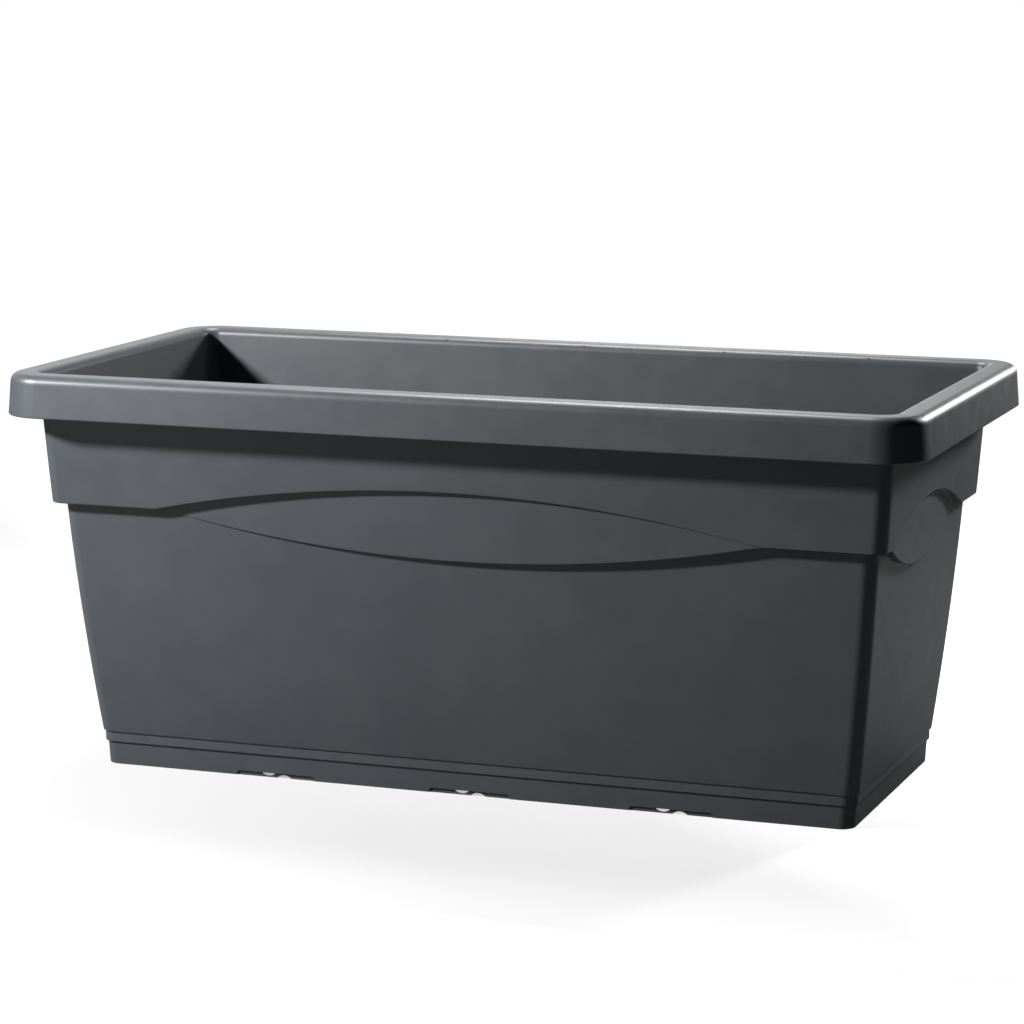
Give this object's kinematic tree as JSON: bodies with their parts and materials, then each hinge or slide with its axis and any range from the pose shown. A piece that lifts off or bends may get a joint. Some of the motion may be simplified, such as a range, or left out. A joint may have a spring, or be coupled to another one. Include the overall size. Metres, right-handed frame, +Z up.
{
  "type": "window box planter",
  "caption": "Long rectangular planter trough with an overhanging hollow lip, a stepped band with lens panels, plugged drain holes and a lift-out drainage grate.",
  "frame": {"origin": "centre of the footprint, on the ground", "axes": "+X along the length, +Y from the front long side to the back, +Z up"},
  "size_m": [0.8, 0.4, 0.346],
  "materials": {
    "trough_plastic": "satin moulded polypropylene, anthracite grey",
    "plug_rubber": "matte moulded rubber",
    "grate_plastic": "matte recycled polypropylene"
  },
  "bodies": {
    "trough": {"trough": "trough_plastic"},
    "drain_plug_1": {"drain_plug_1": "plug_rubber"},
    "drain_plug_2": {"drain_plug_2": "plug_rubber"},
    "drain_plug_3": {"drain_plug_3": "plug_rubber"},
    "drain_plug_4": {"drain_plug_4": "plug_rubber"},
    "drain_plug_5": {"drain_plug_5": "plug_rubber"},
    "drain_plug_6": {"drain_plug_6": "plug_rubber"},
    "drainage_grate_left": {"drainage_grate_left": "grate_plastic"},
    "drainage_grate_right": {"drainage_grate_right": "grate_plastic"}
  },
  "joints": [
    {"name": "drain_plug_1_pull", "type": "slide", "parent": "trough", "child": "drain_plug_1", "axis": [0, 0, 1], "range_m": [0, 0.02]},
    {"name": "drain_plug_2_pull", "type": "slide", "parent": "trough", "child": "drain_plug_2", "axis": [0, 0, 1], "range_m": [0, 0.02]},
    {"name": "drain_plug_3_pull", "type": "slide", "parent": "trough", "child": "drain_plug_3", "axis": [0, 0, 1], "range_m": [0, 0.02]},
    {"name": "drain_plug_4_pull", "type": "slide", "parent": "trough", "child": "drain_plug_4", "axis": [0, 0, 1], "range_m": [0, 0.02]},
    {"name": "drain_plug_5_pull", "type": "slide", "parent": "trough", "child": "drain_plug_5", "axis": [0, 0, 1], "range_m": [0, 0.02]},
    {"name": "drain_plug_6_pull", "type": "slide", "parent": "trough", "child": "drain_plug_6", "axis": [0, 0, 1], "range_m": [0, 0.02]},
    {"name": "drainage_grate_left_lift", "type": "slide", "parent": "trough", "child": "drainage_grate_left", "axis": [0, 0, 1], "range_m": [0, 0.33]},
    {"name": "drainage_grate_right_lift", "type": "slide", "parent": "trough", "child": "drainage_grate_right", "axis": [0, 0, 1], "range_m": [0, 0.33]}
  ]
}
